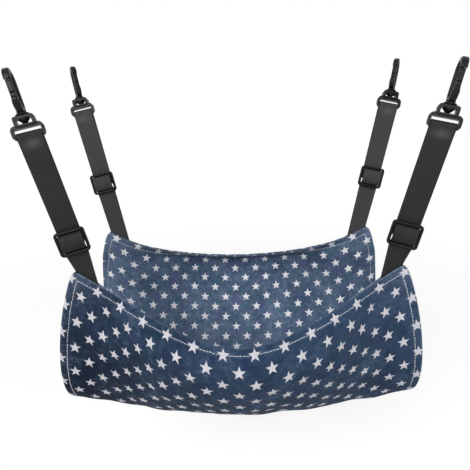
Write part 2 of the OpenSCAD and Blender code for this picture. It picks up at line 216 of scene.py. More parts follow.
class BedSurface:
    """The hung bed as one smooth surface, with the cloth's own flat measures on it.

    s runs left to right and t front to back, both from -1 to 1. u and v are the same on the
    flat cloth, in metres from its middle.
    """

    # The solid model: gap at the seam, thickness of a layer, and strap to corner
    SEAM_GAP = 0.0002
    SOLID_CLOTH = 0.001
    STRAP_INSET = 0.002
    # Powers of the curves from the middle to the sides, and pulls of the curves over the depths
    SIDE_POWER = 3.8
    LIP_POWER = 1.8
    TURN_POWER = 3
    FLOOR_PULL_MIDDLE, FLOOR_PULL_SIDE = 0.32, 0.714
    LIP_PULL_MIDDLE, LIP_PULL_SIDE = 0.084, 0.22
    LIP_PULL_OUT = 0.25
    NORMAL_REACH = 0.002
    # Tables of the measures on the hung cloth, which are exact near the hems
    EXACT = 0.025
    STEP = 0.0005
    TABLE_REACH = 0.27
    LINES = 81
    SAMPLES = 801
    ROUNDS = 3
    # Pocket of a strap: slope of its sides, its depth and the slope of its end
    POCKET_SIDE, POCKET_DEPTH, POCKET_END = 0.0035, 0.034, 0.012
    POCKET_OPEN = 0.00085
    LAYER_GAP = 0.0001
    FOLD_RADIUS = 0.0009
    # Folds that fan out below each strap: size, folds in a turn, shift and curl
    STRAP_MIDDLE, PULL_POINT = 0.0145, 0.004
    FOLD_START, FOLD_RISE, FOLD_REACH = 0.016, 0.030, 0.085
    FANS = ((1.0, 8.5, 0.7, 6.0), (0.5, 15.0, -1.3, -9.0))
    # Slow waves: turns across and along in radians for each metre, and phase
    WAVES = ((62.0, 18.0, 0.3), (-28.0, 76.0, 1.9), (94.0, -58.0, 4.1), (44.0, 122.0, 2.6),
             (-132.0, 36.0, 5.2), (18.0, -104.0, 0.9))
    WAVE_SHARE, WAVE_START, WAVE_RISE = 0.42, 0.004, 0.05
    # Puckers along the hem, and the flat places at the straps
    PUCKER_PITCH, PUCKER_SWAY, PUCKER_CHANGE = 0.0081, 2.2, 71.0
    PUCKER_BAND = (-0.002, 0.006, 0.016, 0.009)
    FLAT_HALF, FLAT_SIDE, FLAT_DEPTH, FLAT_END = 0.014, 0.012, 0.040, 0.020
    # Turned hem past the stitch line, and the groove that the stitches pull
    HEM_PAST, HEM_SLOPE, GROOVE = 0.0022, 0.002, 0.0011

    def __init__(self, scene):
        self.bed = scene.hammock_bed
        self.sewing = scene.hammock_sewing
        self.web = scene.hammock_webbing
        bed = self.bed
        self.seam_z = bed.mid_depth + self.SEAM_GAP + self.SOLID_CLOTH
        self.strap_out = (bed.corner_x - self.STRAP_INSET) / bed.corner_x
        self.strap_in = self.strap_out - self.web.width / bed.corner_x
        self.half_u = bed.flat_width / 2
        self.half_v = bed.flat_length / 2
        self.shares = np.linspace(0.0, 1.0, self.LINES)
        self.across, self.half_across = self.measure(lambda k, way: self.point(way, k))
        self.along, self.half_along = self.measure(lambda k, way: self.point(k, way))

    def point(self, s, t):
        """Point of the middle surface."""
        bed = self.bed
        a, u = np.abs(s), np.abs(t)
        side = a ** self.SIDE_POWER
        lip_y = mix(bed.corner_y + bed.edge_bulge, bed.corner_y, smooth(a))
        lip_z = -bed.edge_dip * (1.0 - a ** self.LIP_POWER)
        floor_z = -mix(bed.mid_depth, bed.side_depth, side)
        floor_y = mix(self.FLOOR_PULL_MIDDLE * bed.mid_depth,
                      self.FLOOR_PULL_SIDE * bed.side_depth, side)
        turn = smooth(np.minimum(a / self.strap_in, 1.0)) ** self.TURN_POWER
        down_side = self.LIP_PULL_SIDE * bed.side_depth
        down = mix(self.LIP_PULL_MIDDLE * bed.mid_depth, down_side, turn)
        lean_in = down_side * math.tan(bed.front_lean)
        out = mix(self.LIP_PULL_OUT * bed.mid_depth, -lean_in, turn)
        half = mix(bed.bottom_half, bed.corner_x, u * u) + bed.side_swell * u * (1.0 - u)
        y = np.sign(t) * bezier(0.0, floor_y, lip_y + out, lip_y, u)
        z = self.seam_z + bezier(floor_z, floor_z, lip_z - down, lip_z, u)
        return np.stack([half * s, y, z], axis=-1)

    def normal(self, s, t):
        """Unit normal of the middle surface, towards the inside."""
        e = self.NORMAL_REACH
        across = self.point(np.minimum(s + e, 1.0), t) - self.point(np.maximum(s - e, -1.0), t)
        along = self.point(s, np.minimum(t + e, 1.0)) - self.point(s, np.maximum(t - e, -1.0))
        return unit(np.cross(across, along))

    def measure(self, line):
        """Table from distance in from an edge to the share there, for lines across the edge."""
        way = np.linspace(1.0, 0.0, self.SAMPLES)
        steps = np.arange(0.0, self.TABLE_REACH, self.STEP)
        table, whole = [], []
        for k in self.shares:
            points = line(np.full_like(way, k), way)
            run = distances(points)
            table.append(np.interp(steps, run, way))
            whole.append(run[-1])
        return np.array(table), np.array(whole)

    def look_up(self, table, k, d):
        """Share at distance d from the edge, on the line at share k."""
        row = np.clip(np.abs(k), 0.0, 1.0) * (len(self.shares) - 1)
        col = np.clip(d / self.STEP, 0.0, table.shape[1] - 1.001)
        r0 = np.minimum(row.astype(int), len(self.shares) - 2)
        c0 = col.astype(int)
        fr, fc = row - r0, col - c0
        near = mix(table[r0, c0], table[r0, c0 + 1], fc)
        far = mix(table[r0 + 1, c0], table[r0 + 1, c0 + 1], fc)
        return mix(near, far, fr)

    def spread(self, d, half, whole):
        """Distance from the edge on the hung cloth for a distance on the flat cloth."""
        keep = self.EXACT
        return np.where(d < keep, d, keep + (d - keep) * (whole - keep) / (half - keep))

    def place(self, u, v):
        """Shares s and t of a point of the flat cloth, with the corners rounded."""
        du, dv = self.half_u - np.abs(u), self.half_v - np.abs(v)
        r = self.bed.corner_r
        p, q = np.clip(r - du, 0.0, r), np.clip(r - dv, 0.0, r)
        both = (p > 0) & (q > 0)
        du = np.where(both, r - p * np.sqrt(1.0 - q * q / (2 * r * r)), du)
        dv = np.where(both, r - q * np.sqrt(1.0 - p * p / (2 * r * r)), dv)
        s = np.clip(1.0 - du / self.half_u, 0.0, 1.0)
        t = np.clip(1.0 - dv / self.half_v, 0.0, 1.0)
        for _ in range(self.ROUNDS):
            t = self.look_up(self.along, s, self.spread(
                dv, self.half_v, np.interp(s, self.shares, self.half_along)))
            s = self.look_up(self.across, t, self.spread(
                du, self.half_u, np.interp(t, self.shares, self.half_across)))
        return np.sign(u) * s, np.sign(v) * t, du, dv

    def pocket(self, s, dv):
        """How far the pocket of a strap is open, from 0 to 1."""
        edge = self.POCKET_SIDE / self.bed.corner_x
        a = np.abs(s)
        across = smooth((a - self.strap_in + edge) / edge)
        across = across * smooth((self.strap_out + edge - a) / edge)
        return across * smooth((self.POCKET_DEPTH - dv) / self.POCKET_END)

    def relief(self, u, v, du, dv):
        """Folds that pull to the corners, slow waves and puckers, along the normal."""
        bed, sewing = self.bed, self.sewing
        out = np.zeros_like(u)
        for k, (x, y) in enumerate(((-1, -1), (1, -1), (-1, 1), (1, 1))):
            px = u - x * (self.half_u - self.STRAP_MIDDLE)
            py = v - y * (self.half_v - self.PULL_POINT)
            r = np.hypot(px, py)
            turn = np.arctan2(-y * py, -x * px)
            rise = smooth((r - self.FOLD_START) / self.FOLD_RISE) * np.exp(-r / self.FOLD_REACH)
            out += bed.fold * rise * sum(size * np.cos(folds * turn + shift * k + curl * r)
                                         for size, folds, shift, curl in self.FANS)
        near = np.minimum(du, dv)
        calm = smooth((near - self.WAVE_START) / self.WAVE_RISE)
        for a, b, phase in self.WAVES:
            out += bed.wave * self.WAVE_SHARE * calm * np.sin(a * u + b * v + phase)
        run = np.where(du < dv, v, u)
        sway = self.PUCKER_SWAY * np.sin(run * self.PUCKER_CHANGE)
        wobble = np.sin(run * 2 * math.pi / self.PUCKER_PITCH + sway)
        start, climb, end, fall = self.PUCKER_BAND
        band = smooth((near - start) / climb) * smooth((end - near) / fall)
        out += sewing.pucker * wobble * band
        aside = np.abs(np.abs(u) - (self.half_u - self.STRAP_MIDDLE))
        flat = smooth(1.0 - (aside - self.FLAT_HALF) / self.FLAT_SIDE)
        flat = flat * smooth((self.FLAT_DEPTH - dv) / self.FLAT_END)
        return out * (1.0 - flat)

    def thickness(self, d):
        """Thickness of a layer by its distance from the nearest edge."""
        bed, sewing = self.bed, self.sewing
        hem = smooth((sewing.inset + self.HEM_PAST - d) / self.HEM_SLOPE)
        groove = np.exp(-((d - sewing.inset) / self.GROOVE) ** 2)
        return mix(bed.cloth, bed.hem, hem) - sewing.sink * groove

    def cloth(self, u, v, side, visible=True, lift=0.0):
        """Point of a layer's visible or hidden face; side is 1 inside and -1 outside."""
        s, t, du, dv = self.place(u, v)
        normal = self.normal(s, t)
        d = np.minimum(du, dv)
        short = 1.0 - np.clip(d / self.FOLD_RADIUS, 0.0, 1.0)
        fold = np.sqrt(np.clip(1.0 - short ** 2, 0.0, 1.0))
        half = self.thickness(d) / 2
        gap = self.LAYER_GAP + self.POCKET_OPEN * self.pocket(s, dv)
        off = gap + half + (half * fold if visible else -half * fold) + lift
        off = side * off + self.relief(u, v, du, dv)
        return self.point(s, t) + off[..., None] * normal


def grid_lines(half, inset, gap=0.0042):
    """Places of the mesh lines over the flat cloth, close together at the hems."""
    near = [0.0, 0.0001, 0.00035, 0.0008, 0.0016, 0.003, 0.0048, 0.0064, 0.0076,
            inset - 0.0005, inset + 0.0001, inset + 0.0008, inset + 0.0018, 0.0124, 0.0148,
            0.018, 0.0215, 0.0255]
    count = int(round((half - near[-1]) / gap))
    inner = np.linspace(near[-1], half, count + 1)[1:]
    d = np.concatenate([near, inner])
    right = half - d
    return np.concatenate([-right, right[-2::-1]])


def make_object(name, points, faces, material):
    mesh = bpy.data.meshes.new(name)
    mesh.from_pydata([tuple(p) for p in points], [], faces)
    mesh.validate()
    mesh.polygons.foreach_set("use_smooth", np.ones(len(mesh.polygons), bool))
    mesh.materials.append(material)
    piece = bpy.data.objects.new(name, mesh)
    bpy.context.scene.collection.objects.link(piece)
    return piece


def put_floats(mesh, name, values):
    attribute = mesh.attributes.new(name, "FLOAT", "POINT")
    attribute.data.foreach_set("value", np.asarray(values, np.float32))


def put_vector(mesh, name, value):
    attribute = mesh.attributes.new(name, "FLOAT_VECTOR", "POINT")
    attribute.data.foreach_set("vector", np.tile(np.asarray(value, np.float32), len(mesh.vertices)))


def put_flat_map(mesh, flat):
    """Lays the flat cloth's measures, in metres, on the mesh as its texture map."""
    layer = mesh.uv_layers.new(name="Flat")
    index = np.zeros(len(mesh.loops), int)
    mesh.loops.foreach_get("vertex_index", index)
    layer.data.foreach_set("uv", np.asarray(flat, np.float32)[index].ravel())


class Finish:
    """Adds the nodes of a material; each call returns an output to use in the next."""

    def __init__(self, name):
        self.material = bpy.data.materials.new(name)
        self.material.use_nodes = True
        self.tree = self.material.node_tree
        self.tree.nodes.clear()
        out = self.tree.nodes.new("ShaderNodeOutputMaterial")
        self.shader = self.tree.nodes.new("ShaderNodeBsdfPrincipled")
        self.tree.links.new(self.shader.outputs["BSDF"], out.inputs["Surface"])

    def put(self, socket, value):
        if isinstance(value, bpy.types.NodeSocket):
            self.tree.links.new(value, socket)
        elif socket.type == "RGBA" and len(value) == 3:
            socket.default_value = (*value, 1.0)
        else:
            socket.default_value = value

    def shade(self, inputs):
        """Sets inputs of the shader by their names."""
        for name, value in inputs.items():
            self.put(self.shader.inputs[name], value)

    def node(self, kind, inputs=None, **settings):
        node = self.tree.nodes.new(kind)
        for key, value in settings.items():
            setattr(node, key, value)
        for key, value in (inputs or {}).items():
            self.put(node.inputs[key], value)
        return node

    def math(self, work, a, b=0.0, c=0.0):
        return self.node("ShaderNodeMath", {0: a, 1: b, 2: c}, operation=work).outputs[0]

    def weigh(self, base, *parts):
        """A base value plus each output times its weight."""
        for output, weight in parts:
            base = self.math("MULTIPLY_ADD", output, weight, base)
        return base

    def vector_math(self, work, a, b=(0.0, 0.0, 0.0)):
        return self.node("ShaderNodeVectorMath", {0: a, 1: b}, operation=work).outputs

    def dot(self, a, b):
        return self.vector_math("DOT_PRODUCT", a, b)["Value"]

    def scaled(self, vector, by):
        return self.vector_math("MULTIPLY", vector, by)[0]

    def noise(self, vector, scale, detail=2.0, rough=0.5):
        inputs = {"Vector": vector, "Scale": scale, "Detail": detail, "Roughness": rough}
        return self.node("ShaderNodeTexNoise", inputs).outputs["Fac"]

    def step(self, value, low, high, to_low=0.0, to_high=1.0):
        inputs = {"Value": value, "From Min": low, "From Max": high,
                  "To Min": to_low, "To Max": to_high}
        return self.node("ShaderNodeMapRange", inputs, interpolation_type="SMOOTHSTEP").outputs[0]

    def blend(self, amount, a, b):
        node = self.node("ShaderNodeMix", data_type="RGBA")
        self.put(node.inputs["Factor"], amount)
        self.put(node.inputs[6], a)
        self.put(node.inputs[7], b)
        return node.outputs[2]

    def attribute(self, name, output="Fac"):
        return self.node("ShaderNodeAttribute", attribute_name=name).outputs[output]

    def object_place(self):
        return self.node("ShaderNodeTexCoord").outputs["Object"]

    def bump(self, height, depth, strength=1.0, under=None):
        inputs = {"Height": height, "Distance": depth, "Strength": strength}
        if under is not None:
            inputs["Normal"] = under
        return self.node("ShaderNodeBump", inputs).outputs[0]


# Print: how far the stars lie off their rows, their soft edge, and half a star's point
PRINT_SWAY = 0.0016
PRINT_EDGE = 0.00035
STAR_TURN = math.radians(36)
# Cloth: its twill lines, the line where the painted light and shade by height is zero, its casts
# and its sheen
TWILL_PITCH = 0.0011
TWILL_SLANT = 0.62
EVEN_LINE = 0.13
GREEN_CAST = np.array((0.62, 1.12, 1.0))
VIOLET_CAST = np.array((1.12, 0.86, 1.35))
COTTON_SHEEN = (0.72, 0.78, 0.92)
# Wear: how strong it is and how far it reaches
EDGE_WEAR, EDGE_REACH = 0.50, 0.0009
STITCH_WEAR, STITCH_REACH = 0.18, 0.0012
CORNER_WEAR, CORNER_INSET, CORNER_REACH = 0.36, 0.004, 0.020
MOST_WEAR = 0.95


def star_mask(f, flat, look, shift, way):
    """1 on a five-pointed star and 0 off it, on the staggered rows of the print."""
    place = f.node("ShaderNodeSeparateXYZ", {0: flat})
    cells = []
    for k, (scale, gap) in enumerate(((140.0, look.gap_x), (155.0, look.gap_y))):
        sway = f.weigh(shift[k] - PRINT_SWAY / 2, (f.noise(flat, scale, 2.0), PRINT_SWAY))
        cells.append(f.math("DIVIDE", f.math("ADD", place.outputs[k], sway), gap))
    p, q = f.math("ADD", *cells), f.math("SUBTRACT", *cells)
    p, q = (f.math("SUBTRACT", k, f.math("ROUND", k)) for k in (p, q))
    x = f.math("MULTIPLY", f.math("ADD", p, q), look.gap_x / 2)
    y = f.math("MULTIPLY", f.math("SUBTRACT", p, q), look.gap_y / 2)
    far = f.math("SQRT", f.math("MULTIPLY_ADD", x, x, f.math("MULTIPLY", y, y)))
    turn = f.math("ARCTAN2", x, f.math("MULTIPLY", y, way))
    turn = f.math("PINGPONG", turn, STAR_TURN)
    tip, waist = look.star, look.star * look.waist
    edge_x = waist * math.sin(STAR_TURN)
    edge_y = tip - waist * math.cos(STAR_TURN)
    size = math.hypot(edge_x, edge_y)
    along = f.math("MULTIPLY", far, f.math("COSINE", turn))
    aside = f.math("MULTIPLY", far, f.math("SINE", turn))
    off = f.math("MULTIPLY", f.math("SUBTRACT", along, tip), edge_x / size)
    off = f.math("MULTIPLY_ADD", aside, edge_y / size, off)
    return f.step(off, PRINT_EDGE, -PRINT_EDGE)


def printed_denim(name, look, dark, light, star, shift, fade, rise, way):
    """Mottled denim with a star print, lighter where hems and corners are rubbed.

    The right-hand slope, the argument before rise, is how much darker it gets to the right for each
    metre: painted shade, in part a wash fade. rise is how much lighter it gets towards the front
    and back hems, the top of the hung cloth, for each metre: painted light and shade by height. way
    is -1 where the stars point to the front hem, and 1 where they point to the back hem.
    """
    f = Finish(name)
    dark, light = np.array(dark), np.array(light)
    flat = f.node("ShaderNodeUVMap", uv_map="Flat").outputs[0]
    x, y = f.node("ShaderNodeSeparateXYZ", {0: flat}).outputs[:2]
    cloudy = f.noise(flat, 24.0, 3.0, 0.6)
    cast = f.noise(f.scaled(flat, (1.0, 1.3, 1.0)), 41.0, 2.0, 0.5)
    mottle = f.noise(flat, 150.0, 4.0, 0.65)
    fleck = f.noise(flat, 620.0, 2.0, 0.6)
    slub = f.noise(f.scaled(flat, (1.0, 0.16, 1.0)), 900.0, 2.0, 0.6)
    weft = f.noise(f.scaled(flat, (0.2, 1.0, 1.0)), 800.0, 2.0, 0.6)
    diagonal = f.math("ADD", x, f.math("MULTIPLY", y, TWILL_SLANT))
    twill = f.math("SINE", f.math("MULTIPLY", diagonal, 2 * math.pi / TWILL_PITCH))
    # Painted light and shade: the tone changes by height towards the hems, and to the right, where
    # it is in part a wash fade.
    height = f.math("SUBTRACT", f.math("ABSOLUTE", y), EVEN_LINE)
    tone = f.weigh(-0.72, (cloudy, 0.85), (mottle, 0.80), (slub, 0.40), (weft, 0.32),
                   (x, -fade), (height, rise), (twill, 0.07))
    cloth = f.blend(f.step(tone, 0.0, 1.0), dark, light)
    middle = 0.8 * mix(dark, light, 0.45)
    cloth = f.blend(f.step(cast, 0.52, 0.68, 0.0, 0.55), cloth, middle * GREEN_CAST)
    cloth = f.blend(f.step(cast, 0.46, 0.32, 0.0, 0.50), cloth, middle * VIOLET_CAST)
    washed = f.step(f.math("ADD", mottle, cloudy), 1.0, 1.35)
    wash = f.math("MULTIPLY", washed, f.step(fleck, 0.40, 0.70))
    cloth = f.blend(f.math("MULTIPLY", wash, 0.42), cloth, look.worn_shade)
    wear = f.math("MULTIPLY", f.attribute("wear"), f.step(mottle, 0.30, 0.68, 0.35, 1.25))
    cloth = f.blend(wear, cloth, look.worn_shade)
    thin = f.step(f.math("ADD", mottle, f.math("MULTIPLY", slub, 0.5)), 0.42, 0.95, 1.0, 0.82)
    ink = f.math("MULTIPLY", star_mask(f, flat, look, shift, way), thin)
    crease = f.bump(f.noise(flat, 55.0, 4.0, 0.55), 0.004, 0.4)
    yarns = f.weigh(0.0, (twill, 0.35), (slub, 0.7))
    f.shade({"Base Color": f.blend(ink, cloth, star),
             "Roughness": f.step(slub, 0.25, 0.75, 0.82, 0.97),
             "Specular IOR Level": 0.1,
             "Sheen Weight": 0.03,
             "Sheen Roughness": 0.55,
             "Sheen Tint": COTTON_SHEEN,
             "Normal": f.bump(yarns, 0.00035, 0.6, crease)})
    return f.material


def sewing_thread(look):
    """Pale thread with a fine twist."""
    f = Finish("sewing_thread")
    place = f.object_place()
    twist = f.noise(place, 2600.0, 2.0)
    dust = f.noise(place, 90.0, 2.0)
    tone = f.weigh(0.0, (twist, 0.5), (dust, 0.5))
    dull = tuple(0.55 * c for c in look.shade)
    f.shade({"Base Color": f.blend(f.step(tone, 0.2, 0.62), dull, look.shade),
             "Roughness": f.step(twist, 0.2, 0.8, 0.55, 0.8),
             "Normal": f.bump(twist, 0.0002, 0.5)})
    return f.material


def woven_webbing(name, look, lift):
    """Ribbed narrow weave, measured along and across the strap that it is on; lift makes a paler
    copy of it as painted light.
    """
    f = Finish(name)
    place = f.object_place()
    along = f.dot(place, f.attribute("strap_up", "Vector"))
    across = f.dot(place, f.attribute("strap_across", "Vector"))
    rib = f.math("SINE", f.math("MULTIPLY", across, 2 * math.pi / look.rib))
    pick = f.math("SINE", f.math("MULTIPLY", along, 2 * math.pi / look.pick))
    weave = f.math("MULTIPLY", rib, pick)
    fibre = f.noise(place, 1500.0, 3.0, 0.6)
    dust = f.noise(place, 60.0, 3.0, 0.6)
    tone = f.weigh(0.0, (fibre, 0.55), (weave, 0.20), (f.math("ABSOLUTE", rib), 0.14),
                   (dust, 0.45))
    # lift raises both tones: painted light that makes the back straps paler
    dark, light = (tuple(c + lift for c in shade) for shade in (look.dark, look.light))
    yarn = f.blend(f.step(tone, 0.18, 0.98), dark, light)
    # Painted sheen on the fold below the yoke
    pressed = f.math("MULTIPLY", f.attribute("pressed"), f.step(dust, 0.25, 0.65, 0.5, 1.0))
    height = f.weigh(0.0, (rib, 0.3), (weave, 0.35), (fibre, 0.25))
    f.shade({"Base Color": f.blend(pressed, yarn, look.pressed),
             "Roughness": f.step(fibre, 0.2, 0.8, 0.5, 0.78),
             "Specular IOR Level": 0.25,
             "Sheen Weight": 0.03,
             "Sheen Roughness": 0.4,
             "Normal": f.bump(height, 0.0004, 0.6)})
    return f.material


def moulded_plastic(look):
    """Black moulded plastic: a fine spark texture, dull patches and rubbed edges."""
    f = Finish("moulded_plastic")
    place = f.object_place()
    spark = f.noise(place, 1900.0, 3.0, 0.6)
    patch = f.noise(place, 70.0, 3.0, 0.55)
    rounded = f.node("ShaderNodeBevel", {"Radius": 0.0007}, samples=6).outputs[0]
    face = f.node("ShaderNodeNewGeometry").outputs["Normal"]
    sharp = f.math("SUBTRACT", 1.0, f.dot(rounded, face))
    rub = f.math("MULTIPLY", f.step(sharp, 0.01, 0.16), f.step(patch, 0.30, 0.66, 0.15, 0.8))
    tone = f.blend(f.step(patch, 0.3, 0.75, 0.0, 0.25), look.shade, look.rubbed)
    f.shade({"Base Color": f.blend(rub, tone, look.rubbed),
             "Roughness": f.weigh(look.gloss - 0.17, (patch, 0.22), (spark, 0.12)),
             "Specular IOR Level": 0.16,
             "Normal": f.bump(spark, 0.00012, 0.35, rounded)})
    return f.material


def worn(du, dv, inset):
    """How far the cloth is rubbed, from its distances to the side and end hems."""
    d = np.minimum(du, dv)
    edge = EDGE_WEAR * np.exp(-d / EDGE_REACH)
    stitches = STITCH_WEAR * np.exp(-((d - inset) / STITCH_REACH) ** 2)
    away = np.hypot(du - CORNER_INSET, dv - CORNER_INSET)
    corner = CORNER_WEAR * np.exp(-away / CORNER_REACH)
    return np.clip(edge + stitches + corner, 0.0, MOST_WEAR)


def add_layer(surface, name, side, material):
    """One cloth layer: a visible face and a hidden face, joined along a folded edge."""
    lines_u = grid_lines(surface.half_u, surface.sewing.inset)
    lines_v = grid_lines(surface.half_v, surface.sewing.inset)
    n, m = len(lines_u), len(lines_v)
    u, v = np.meshgrid(lines_u, lines_v, indexing="ij")
    shown = surface.cloth(u, v, side)
    hidden = surface.cloth(u, v, side, visible=False)
    number = np.arange(n * m).reshape(n, m)
    under = number.copy()
    under[1:-1, 1:-1] = n * m + np.arange((n - 2) * (m - 2)).reshape(n - 2, m - 2)
    points = np.concatenate([shown.reshape(-1, 3), hidden[1:-1, 1:-1].reshape(-1, 3)])

    def quads(index, turned):
        a, b = index[:-1, :-1].ravel(), index[1:, :-1].ravel()
        c, d = index[1:, 1:].ravel(), index[:-1, 1:].ravel()
        order = (a, d, c, b) if turned else (a, b, c, d)
        return np.stack(order, axis=1).tolist()

    faces = quads(number, side < 0) + quads(under, side > 0)
    piece = make_object(name, points, faces, material)
    flat = np.stack([u, v], axis=-1)
    put_flat_map(piece.data, np.concatenate([flat.reshape(-1, 2),
                                             flat[1:-1, 1:-1].reshape(-1, 2)]))
    wear = worn(surface.half_u - np.abs(u), surface.half_v - np.abs(v), surface.sewing.inset)
    put_floats(piece.data, "wear", np.concatenate([wear.ravel(), wear[1:-1, 1:-1].ravel()]))
    return piece


class HAMMOCK_OT_add_bed(bpy.types.Operator):
    """Add the outer and inner cloth layers of the bed"""

    bl_idname = "hammock.add_bed"
    bl_label = "Add Cloth Bed"

    # Shift of the print on each layer, besides the half row and the hem
    OUTER_SHIFT = 0.0020
    INNER_SHIFT = (0.006, 0.004)

    def execute(self, context):
        scene = context.scene
        surface, look = BedSurface(scene), scene.hammock_print
        half_v = surface.half_v - scene.hammock_sewing.inset
        # Each layer gets a slope of painted shade to the right, in part a wash fade, and a slope of
        # painted light and shade towards the hems.
        outer = printed_denim("outer_denim", look, look.outer_dark, look.outer_light,
                              look.outer_star, shift=(self.OUTER_SHIFT + look.gap_x / 2, half_v),
                              fade=-1.3, rise=2.5, way=-1.0)
        right, up = self.INNER_SHIFT
        # The same star print as outside, given a paler colour as painted light.
        inner = printed_denim("inner_denim", look, look.inner_dark, look.inner_light,
                              look.inner_star, shift=(right, half_v + up),
                              fade=0.3, rise=-1.1, way=1.0)
        for name, node, side, material, slot in (
            ("bed_outer_cloth", "bed_outer", -1, outer, "print_cloth"),
            ("bed_inner_cloth", "bed_inner", 1, inner, "lining_cloth"),
        ):
            piece = add_layer(surface, name, side, material)
            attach(piece, "bed")
            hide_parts(node)
        return {"FINISHED"}


class HAMMOCK_OT_add_stitching(bpy.types.Operator):
    """Add the topstitching round both faces of the bed"""

    bl_idname = "hammock.add_stitching"
    bl_label = "Add Topstitching"

    # Rings of a stitch: place along it, share of the thread's radius, and lift off the cloth
    RINGS = ((-0.5, 0.35, -0.00025), (-0.44, 0.85, 0.0), (-0.2, 1.0, 0.00022),
             (0.2, 1.0, 0.00022), (0.44, 0.85, 0.0), (0.5, 0.35, -0.00025))
    SIDES = 6
    # Drift of the sewn line: size, turns for each metre in radians, and phase
    DRIFT = ((0.00022, 190.0, 1.0), (0.00016, 533.0, 2.0))

    def stitch_row(self, surface, edge, side):
        """Middles of the stitches along one edge, as places on the flat cloth, and their way."""
        sewing = surface.sewing
        along_u = edge in ("front", "back")
        reach = (surface.half_u if along_u else surface.half_v) - sewing.inset
        count = int(2 * reach / sewing.pitch)
        way = (np.arange(count) - (count - 1) / 2) * (2 * reach / count)
        fixed = (surface.half_v if along_u else surface.half_u) - sewing.inset
        fixed = -fixed if edge in ("front", "left") else fixed
        other = fixed + sum(size * np.sin(way * turns + phase * side)
                            for size, turns, phase in self.DRIFT)
        if along_u:
            return way, other, np.array([1.0, 0.0])
        return other, way, np.array([0.0, 1.0])

    def stitch_points(self, surface, edge, side):
        """Points of the stitches along one edge, a row for each stitch."""
        sewing = surface.sewing
        u, v, way = self.stitch_row(surface, edge, side)
        rings = []
        for place, size, lift in self.RINGS:
            du, dv = place * sewing.stitch * way
            rings.append((surface.cloth(u + du, v + dv, side, lift=lift), size * sewing.thread))
        ahead = unit(rings[-1][0] - rings[0][0])
        s, t, _, _ = surface.place(u, v)
        up = side * surface.normal(s, t)
        aside = unit(np.cross(ahead, up))
        points = []
        for middle, radius in rings:
            for k in range(self.SIDES):
                turn = 2 * math.pi * k / self.SIDES
                points.append(middle + radius * (math.cos(turn) * aside + math.sin(turn) * up))
        return np.stack(points, axis=1)

    def stitch_faces(self, first):
        """Faces of the stitch whose points start at first."""
        sides, faces = self.SIDES, []
        for start in range(first, first + (len(self.RINGS) - 1) * sides, sides):
            for k in range(sides):
                a, b = start + k, start + (k + 1) % sides
                faces.append((a, b, b + sides, a + sides))
        faces.append(tuple(first + k for k in range(sides))[::-1])
        last = first + (len(self.RINGS) - 1) * sides
        faces.append(tuple(last + k for k in range(sides)))
        return faces

    def execute(self, context):
        surface = BedSurface(context.scene)
        material = sewing_thread(surface.sewing)
        for side, name, slot in ((-1, "outer", "print_cloth"), (1, "inner", "lining_cloth")):
            edges = ("front", "back", "left", "right")
            stitches = np.concatenate([self.stitch_points(surface, e, side) for e in edges])
            faces = []
            for k in range(len(stitches)):
                faces += self.stitch_faces(k * stitches.shape[1])
            piece = make_object(f"{name}_topstitching", stitches.reshape(-1, 3), faces, material)
            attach(piece, "bed")
        return {"FINISHED"}


class Strap:
    """Place and path of one strap, taken from the joints and solids of its corner."""

    # The solid model: bars of the slider, bar of the yoke, gaps and thickness of the webbing
    END_BAR = 0.0034
    END_EDGE = 0.0015
    MID_BAR = 0.002
    YOKE_BAR = 0.0022
    CLEAR = 0.0003
    SOLID = 0.0016
    # The sewn end's turn round the middle bar, and the fullness of the roll over it
    WRAP_TURN = math.radians(280)
    FULL = 0.95
    # Rings from the tail in the hem to the slider, and how far the sewn piece rises
    COLUMNS = 9
    RUN_ROWS = 31
    TAIL_DEPTHS = (0.016, 0.012, 0.008, 0.005, 0.0025, 0.001)
    SEAM_RISE = 0.0045

    def __init__(self, corner, surface):
        self.corner = corner
        self.surface = surface
        self.back = corner.startswith("back")
        self.left = corner.endswith("left")
        self.bar = np.array(JOINTS[f"{corner}_tilt"]["pos_m"])
        self.up = unit(np.array(JOINTS[f"{corner}_adjust"]["axis"]))
        across = np.array(JOINTS[f"{corner}_tilt"]["axis"])
        across = unit(across - self.up * across.dot(self.up))
        self.across = across if np.cross(self.up, across)[1] > 0 else -across
        self.through = np.cross(self.up, self.across)
        self.slider_low, self.slider_high = self.reach("slider", self.up)
        near, far = self.reach("slider", self.through)
        self.slider_y = (near + far) / 2
        self.slider_z = (self.slider_low + self.slider_high) / 2
        self.half_length = (self.slider_high - self.slider_low) / 2
        self.half_depth = (far - near) / 2
        lane = self.half_depth + self.CLEAR + self.SOLID / 2
        self.front_lane = self.slider_y + lane
        self.back_lane = self.front_lane + self.SOLID + self.CLEAR
        self.wrap_r = self.MID_BAR + self.CLEAR / 2 + self.SOLID / 2
        self.roll_y = self.wrap_r + self.SOLID + self.CLEAR
        self.lane_start = self.half_length - self.END_BAR - self.SOLID / 2
        self.loop_r = self.YOKE_BAR + self.CLEAR + self.SOLID / 2

    def reach(self, kind, way):
        """How far one of the corner's solids reaches along a direction, from the bar."""
        mesh = frame["nodes"][f"{self.corner}_{kind}"].data
        places = np.zeros(3 * len(mesh.vertices), np.float32)
        mesh.vertices.foreach_get("co", places)
        along = (places.reshape(-1, 3) - self.bar).dot(way)
        return along.min(), along.max()

    def at(self, y, z):
        """Point of the strap's middle line: y through the webbing and z up it, from the bar."""
        return self.bar + self.through * y + self.up * z

    def hem_line(self, d):
        """Points across the strap on the bed's middle surface, d below the hem."""
        surface = self.surface
        s = np.linspace(surface.strap_in, surface.strap_out, self.COLUMNS)
        s = -s if self.left else s
        order = s if (s[-1] - s[0]) * self.across[0] > 0 else s[::-1]
        down = surface.look_up(surface.along, order, np.full(self.COLUMNS, d))
        return surface.point(order, down * (1 if self.back else -1))

    def head_line(self, width):
        """Points across the strap where it enters the slider."""
        shift = np.linspace(-width / 2, width / 2, self.COLUMNS)[:, None] * self.across
        return self.at(self.front_lane, self.slider_low) + shift


